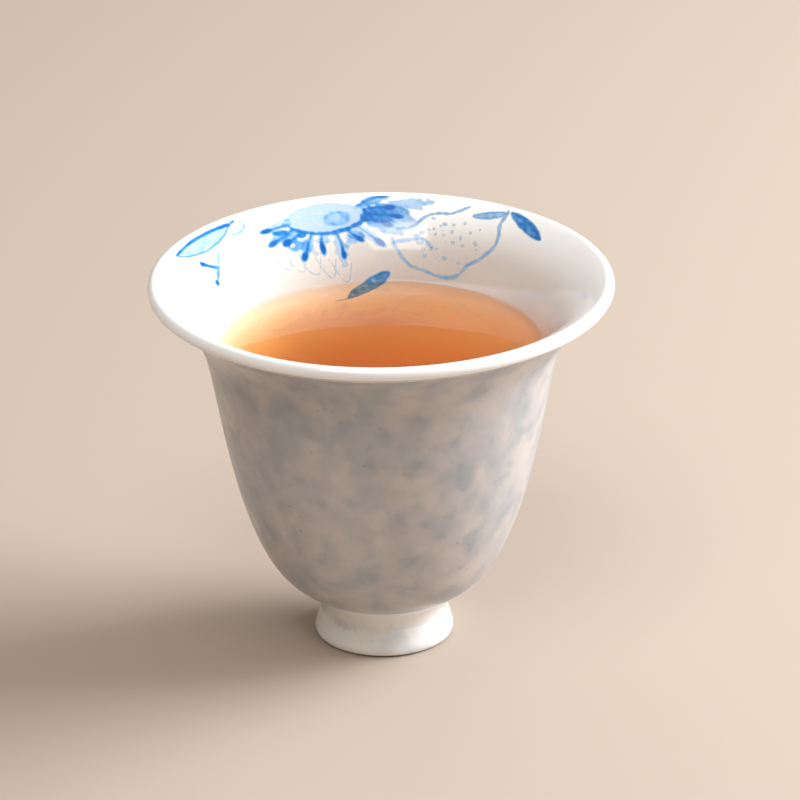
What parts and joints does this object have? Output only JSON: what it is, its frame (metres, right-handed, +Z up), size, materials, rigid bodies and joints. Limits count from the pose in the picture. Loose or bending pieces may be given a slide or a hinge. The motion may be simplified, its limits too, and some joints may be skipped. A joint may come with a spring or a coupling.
{
  "type": "teacup",
  "caption": "Small bell-shaped porcelain tasting cup with a flared lip and a pedestal foot, mottled outside, painted with a blue bloom inside and filled with tea.",
  "frame": {"origin": "centre of the circle that the foot stands on, at table height", "axes": "+Z up the cup's axis of rotation; +Y away from the drinker, towards the painted bloom; +X to the drinker's right"},
  "size_m": [0.075, 0.075, 0.0625],
  "materials": {
    "porcelain": "matte",
    "slip": "matte",
    "mottled_glaze": "satin",
    "clear_glaze": "gloss",
    "foot_glaze": "gloss",
    "cobalt_bloom": "gloss",
    "cobalt_leaves": "gloss",
    "tea": "polished"
  },
  "bodies": {
    "root": {"bowl": "porcelain", "foot_ring": "porcelain", "luting_slip": "slip", "outer_glaze": "mottled_glaze", "inner_glaze": "clear_glaze", "foot_glaze": "foot_glaze", "recess_glaze": "foot_glaze", "painted_flower": "cobalt_bloom", "painted_left_spray": "cobalt_leaves", "painted_right_leaves": "cobalt_leaves", "tea": "tea"}
  },
  "joints": []
}
